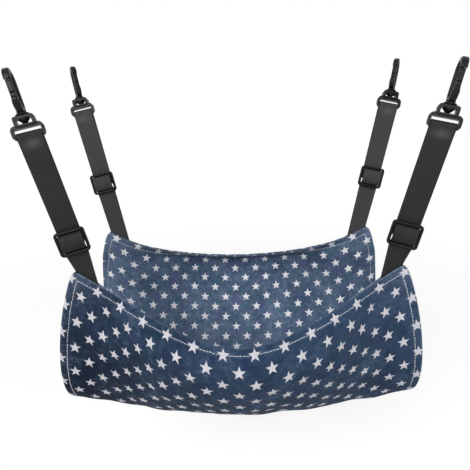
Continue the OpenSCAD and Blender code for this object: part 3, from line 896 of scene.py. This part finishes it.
def section(width, thick, columns=12, edge_steps=5):
    """Outline of the webbing's section: x across it and n through it."""
    r = thick / 2
    flat = np.linspace(-width / 2 + r, width / 2 - r, columns)
    turn = np.linspace(math.pi / 2, -math.pi / 2, edge_steps)[1:-1]
    top = [(x, r) for x in flat]
    right = [(width / 2 - r + r * math.cos(a), r * math.sin(a)) for a in turn]
    low = [(x, -r) for x in flat[::-1]]
    left = [(-width / 2 + r - r * math.cos(a), -r * math.sin(a)) for a in turn]
    return np.array(top + right + low + left)


def tube(rows, start):
    """Points and faces of a tube of rings; its end faces have points of their own."""
    count, ring = rows.shape[:2]
    faces = []
    for i in range(count - 1):
        for k in range(ring):
            a, b = start + i * ring + k, start + i * ring + (k + 1) % ring
            faces.append((a, b, b + ring, a + ring))
    ends = start + count * ring
    faces.append(tuple(range(ends + ring - 1, ends - 1, -1)))
    faces.append(tuple(range(ends + ring, ends + 2 * ring)))
    return np.concatenate([rows.reshape(-1, 3), rows[0], rows[-1]]), faces


def even_path(corners, step):
    """The same path with points a set step apart."""
    corners = np.array(corners, float)
    run = distances(corners)
    count = max(2, int(round(run[-1] / step)) + 1)
    where = np.linspace(0.0, run[-1], count)
    return np.stack([np.interp(where, run, corners[:, k]) for k in range(2)], axis=1)


def strip_rows(strap, path, width, thick):
    """Rings of webbing along a path of points (through, up)."""
    ahead = unit(np.gradient(path, axis=0))
    side = np.stack([-ahead[:, 1], ahead[:, 0]], axis=1)
    outline = section(width, thick)
    rows = []
    for (y, z), (ny, nz) in zip(path, side):
        normal = strap.through * ny + strap.up * nz
        middle = strap.at(y, z)
        rows.append(middle + outline[:, :1] * strap.across + outline[:, 1:] * normal)
    return np.array(rows)


def hem_rows(strap, width, thick):
    """Rings of webbing from between the cloth layers, over the hem and up to the slider.

    Above the hem they turn from its slant to the face of the slider. The second value is the
    number of rings below the hem.
    """
    outline = section(width, thick)
    where = (outline[:, 0] / width + 0.5) * (strap.COLUMNS - 1)
    hem, head = strap.hem_line(0.0), strap.head_line(width)
    lines = [strap.hem_line(d) for d in strap.TAIL_DEPTHS]
    turned = [0.0] * len(lines)
    for k in np.linspace(0.0, 1.0, strap.RUN_ROWS):
        lines.append(mix(hem, head, k))
        turned.append(k)
    rows = []
    for i, (line, share_turned) in enumerate(zip(lines, turned)):
        below, above = lines[max(i - 1, 0)], lines[min(i + 1, len(lines) - 1)]
        normal = -unit(np.cross((above - below).mean(axis=0), line[-1] - line[0]))
        normal = unit(mix(normal, -strap.through, share_turned))
        spread = [np.interp(where, np.arange(strap.COLUMNS), line[:, k]) for k in range(3)]
        rows.append(np.stack(spread, axis=1) + outline[:, 1:] * normal)
    return np.array(rows), len(lines) - strap.RUN_ROWS


class HAMMOCK_OT_add_webbing(bpy.types.Operator):
    """Add the webbing of the four straps"""

    bl_idname = "hammock.add_webbing"
    bl_label = "Add Webbing"

    # How much paler the back straps are painted than the front ones, as painted light on the same
    # webbing
    BACK_LIFT = 0.021
    # Points on the bends of the paths, and the steps that the paths are cut to
    BEND_POINTS, ROLL_POINTS, WRAP_POINTS, LOOP_POINTS = 12, 30, 22, 25
    THREADED_STEP, LOOP_STEP = 0.0006, 0.0011
    # Painted sheen below the yoke, where the webbing bulges over the bar: drop, length, share of
    # the width, and strength
    PRESS_DROP, PRESS_LENGTH, PRESS_WIDTH, PRESS_MOST = 0.008, 0.0045, 0.55, 0.8

    def add(self, strap, name, groups, material):
        points, faces, start = [], [], 0
        for rows in groups:
            more, sides = tube(rows, start)
            points.append(more)
            faces += sides
            start += len(more)
        piece = make_object(f"{strap.corner}_{name}", np.concatenate(points), faces, material)
        put_vector(piece.data, "strap_up", strap.up)
        put_vector(piece.data, "strap_across", strap.across)
        return piece

    def execute(self, context):
        scene = context.scene
        surface, look = BedSurface(scene), scene.hammock_webbing
        finishes = {False: woven_webbing("front_webbing", look, 0.0),
                    True: woven_webbing("back_webbing", look, self.BACK_LIFT)}
        for corner in CORNERS:
            strap = Strap(corner, surface)
            material = finishes[strap.back]
            self.add_seam_and_run(strap, look, material)
            self.add_threaded(strap, look, material)
            self.add_loop(strap, look, material)
        return {"FINISHED"}

    def add_seam_and_run(self, strap, look, material):
        """Webbing sewn into the hem, and the single run up to the slider."""
        rows, first = hem_rows(strap, look.width, look.thick)
        hem = strap.hem_line(0.0)
        middle = hem.mean(axis=0)
        reach = np.linalg.norm(strap.head_line(look.width).mean(axis=0) - middle)
        split = first + round(strap.SEAM_RISE / reach * (strap.RUN_ROWS - 1))
        slant = hem[-1] - hem[0]
        rise = unit(np.cross(slant, np.cross(strap.up, slant)))
        rise = rise if rise.dot(strap.up) > 0 else -rise
        clear = ((rows[split] - middle).dot(rise)).min()
        seam = self.add(strap, "webbing_seam", [rows[:split + 1]], material)
        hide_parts(f"{strap.corner}_tail")
        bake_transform(seam)
        run = self.add(strap, "webbing_run", [rows[split:]], material)
        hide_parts(f"{strap.corner}_run")
        top = ((rows[split] - strap.bar).dot(strap.up)).max()
        strap.at(0.0, top + 0.0003)
        strap.at(0.0, strap.slider_low - 0.0004)
        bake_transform(run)

    def add_threaded(self, strap, look, material):
        """Webbing in the slider: the roll over its bar, and the sewn end round the bar."""
        y0, z0 = strap.slider_y, strap.slider_z
        lane = strap.front_lane - y0
        turn_y = strap.half_depth - strap.END_EDGE
        turn_z = strap.half_length - strap.END_BAR + strap.END_EDGE
        bend = lane - turn_y
        half = [(lane, strap.half_length)]
        for turn in np.linspace(0.0, math.pi / 2, self.BEND_POINTS):
            half.append((turn_y + bend * math.cos(turn), turn_z - bend * math.sin(turn)))
        for turn in np.linspace(0.0, math.pi / 2, self.ROLL_POINTS)[1:]:
            rise = math.sin(turn) ** strap.FULL
            run = max(math.cos(turn), 0.0) ** strap.FULL
            half.append((turn_y - (turn_y + strap.roll_y) * rise, (turn_z - bend) * run))
        wave = [(y0 + y, z0 - z) for y, z in half] + [(y0 + y, z0 + z) for y, z in half[-2::-1]]
        back = strap.back_lane - y0
        sewn = [(y0 + back, strap.slider_high), (y0 + back, z0 + strap.lane_start)]
        for k in np.linspace(0.0, 1.0, self.WRAP_POINTS):
            turn = -strap.WRAP_TURN * k
            sewn.append((y0 + strap.wrap_r * math.cos(turn), z0 + strap.wrap_r * math.sin(turn)))
        rows = [strip_rows(strap, even_path(path, self.THREADED_STEP), look.width, look.thick)
                for path in (wave, sewn)]
        piece = self.add(strap, "webbing_threaded", rows, material)
        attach(piece, f"{strap.corner}_adjuster")
        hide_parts(f"{strap.corner}_thread")

    def add_loop(self, strap, look, material):
        """Doubled webbing from the slider over the yoke's bar and back."""
        path = [(strap.front_lane, strap.slider_high)]
        for k in np.linspace(0.0, math.pi, self.LOOP_POINTS):
            path.append((-strap.loop_r * math.cos(k), strap.loop_r * math.sin(k)))
        path.append((strap.back_lane, strap.slider_high))
        rows = strip_rows(strap, even_path(path, self.LOOP_STEP), look.width, look.thick)
        piece = self.add(strap, "webbing_loop", [rows], material)
        places = np.concatenate([rows.reshape(-1, 3), rows[0], rows[-1]]) - strap.bar
        height, aside = places.dot(strap.up), places.dot(strap.across)
        # Painted sheen: a paler band below the yoke's bar, strongest in the middle of the strap
        pressed = np.exp(-((height + self.PRESS_DROP) / self.PRESS_LENGTH) ** 2)
        pressed *= 1.0 - smooth(np.abs(aside) / (self.PRESS_WIDTH * look.width))
        put_floats(piece.data, "pressed", self.PRESS_MOST * pressed)
        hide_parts(f"{strap.corner}_loop")
        strap.at(0.0, strap.slider_high + 0.0005)
        strap.at(0.0, -0.010)
        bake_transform(piece)


class HAMMOCK_OT_finish_hardware(bpy.types.Operator):
    """Give the sliders, yokes, hooks and gates their moulded plastic finish"""

    bl_idname = "hammock.finish_hardware"
    bl_label = "Finish Plastic Hardware"

    def execute(self, context):
        material = moulded_plastic(context.scene.hammock_plastic)
        for corner in CORNERS:
            for kind in HARDWARE:
                part = frame["nodes"][f"{corner}_{kind}"]
                if not part.material_slots:
                    part.data.materials.append(material)
                for holder in part.material_slots:
                    holder.material = material
        return {"FINISHED"}


class HAMMOCK_OT_add_stage(bpy.types.Operator):
    """Add the pale floor, the soft lights and the camera"""

    bl_idname = "hammock.add_stage"
    bl_label = "Add Stage"

    FLOOR_HALF = 6.0
    FLOOR_TONES = ((0.62, 0.62, 0.62), (0.65, 0.65, 0.65))
    # Glow under the bed as a share of the glow far away, and where it starts and ends to change
    GLOW_NEAR = 0.68
    GLOW_START, GLOW_END = 0.5, 3.2
    # Lamps: place and size
    KEY_LAMP = ((-0.5, -1.5, 1.3), 1.2)
    FILL_LAMP = ((1.2, -0.9, 1.0), 1.3)
    AIM = (0.0, 0.0, 0.2)
    SENSOR = 36.0
    CLIP_START = 0.01

    def seen_rays(self, tree):
        """1 on the rays that show the floor or the sky to the camera, also in gloss and glass."""
        rays = tree.nodes.new("ShaderNodeLightPath")
        seen = rays.outputs["Is Camera Ray"]
        for kind in ("Is Glossy Ray", "Is Transmission Ray"):
            either = tree.nodes.new("ShaderNodeMath")
            either.operation = "MAXIMUM"
            tree.links.new(seen, either.inputs[0])
            tree.links.new(rays.outputs[kind], either.inputs[1])
            seen = either.outputs[0]
        return seen

    def add_floor(self, stage):
        f = Finish("pale_floor")
        place = f.object_place()
        away = f.vector_math("LENGTH", place)["Value"]
        glow = f.step(away, self.GLOW_START, self.GLOW_END, self.GLOW_NEAR * stage.glow, stage.glow)
        f.shade({"Base Color": f.blend(f.noise(place, 30.0, 3.0), *self.FLOOR_TONES),
                 "Roughness": 0.9,
                 "Specular IOR Level": 0.1,
                 "Emission Color": (1.0, 1.0, 1.0),
                 "Emission Strength": f.math("MULTIPLY", self.seen_rays(f.tree), glow)})
        half, ways = self.FLOOR_HALF, ((-1, -1), (1, -1), (1, 1), (-1, 1))
        corners = [(x * half, y * half, -stage.drop) for x, y in ways]
        floor = make_object("pale_floor", corners, [(0, 1, 2, 3)], f.material)

    def add_sky(self, scene, stage):
        world = bpy.data.worlds.new("white_sky")
        world.use_nodes = True
        nodes, links = world.node_tree.nodes, world.node_tree.links
        nodes.clear()
        strength = nodes.new("ShaderNodeMapRange")
        strength.inputs["To Min"].default_value = stage.world
        strength.inputs["To Max"].default_value = 1.0
        links.new(self.seen_rays(world.node_tree), strength.inputs["Value"])
        sky = nodes.new("ShaderNodeBackground")
        sky.inputs["Color"].default_value = (1.0, 1.0, 1.0, 1.0)
        links.new(strength.outputs[0], sky.inputs["Strength"])
        out = nodes.new("ShaderNodeOutputWorld")
        links.new(sky.outputs[0], out.inputs["Surface"])
        scene.world = world

    def add_lamp(self, scene, name, power, place, size):
        lamp = bpy.data.lights.new(name, "AREA")
        lamp.shape = "DISK"
        lamp.size = size
        lamp.energy = power
        holder = bpy.data.objects.new(name, lamp)
        holder.location = place
        aim = Vector(self.AIM) - Vector(place)
        holder.rotation_euler = aim.to_track_quat("-Z", "Y").to_euler()
        scene.collection.objects.link(holder)

    def execute(self, context):
        scene, stage = context.scene, context.scene.hammock_stage
        scene.view_settings.view_transform = "Standard"
        self.add_floor(stage)
        self.add_sky(scene, stage)
        self.add_lamp(scene, "key_light", stage.key, *self.KEY_LAMP)
        self.add_lamp(scene, "fill_light", stage.fill, *self.FILL_LAMP)
        camera = bpy.data.cameras.new("photo_camera")
        camera.sensor_width = self.SENSOR
        camera.lens = stage.lens
        camera.clip_start = self.CLIP_START
        holder = bpy.data.objects.new("photo_camera", camera)
        turn = Matrix.Rotation(stage.yaw, 4, "Z")
        turn = turn @ Matrix.Rotation(math.pi / 2 - stage.pitch, 4, "X")
        turn = turn @ Matrix.Rotation(stage.roll, 4, "Z")
        holder.matrix_world = Matrix.Translation(Vector(stage.eye)) @ turn
        scene.collection.objects.link(holder)
        scene.camera = holder
        return {"FINISHED"}


class HAMMOCK_PT_sidebar(bpy.types.Panel):
    """Lists the steps and the values of the hammock"""

    bl_idname = "HAMMOCK_PT_sidebar"
    bl_label = "Pet Hammock"
    bl_space_type = "VIEW_3D"
    bl_region_type = "UI"
    bl_category = "Hammock"

    def draw(self, context):
        for step in STEPS:
            self.layout.operator(step.bl_idname)
        for name, group in GROUPS.items():
            box = self.layout.box()
            box.label(text=name.replace("_", " ").capitalize())
            values = getattr(context.scene, name)
            for key in group.__annotations__:
                box.prop(values, key)


GROUPS = {
    "hammock_bed": HammockBed,
    "hammock_sewing": HammockSewing,
    "hammock_print": HammockPrint,
    "hammock_webbing": HammockWebbing,
    "hammock_plastic": HammockPlastic,
    "hammock_stage": HammockStage,
}
STEPS = (HAMMOCK_OT_add_bed, HAMMOCK_OT_add_stitching, HAMMOCK_OT_add_webbing,
         HAMMOCK_OT_finish_hardware, HAMMOCK_OT_add_stage)
CLASSES = (*GROUPS.values(), *STEPS, HAMMOCK_PT_sidebar)


def register():
    for cls in CLASSES:
        bpy.utils.register_class(cls)
    for name, group in GROUPS.items():
        setattr(bpy.types.Scene, name, PointerProperty(type=group))


def unregister():
    for name in GROUPS:
        delattr(bpy.types.Scene, name)
    for cls in reversed(CLASSES):
        bpy.utils.unregister_class(cls)


def main():
    register()
    bpy.ops.hammock.add_bed()
    bpy.ops.hammock.add_stitching()
    bpy.ops.hammock.add_webbing()
    bpy.ops.hammock.finish_hardware()
    bpy.ops.hammock.add_stage()
    bpy.context.view_layer.update()


if __name__ == "__main__":
    main()
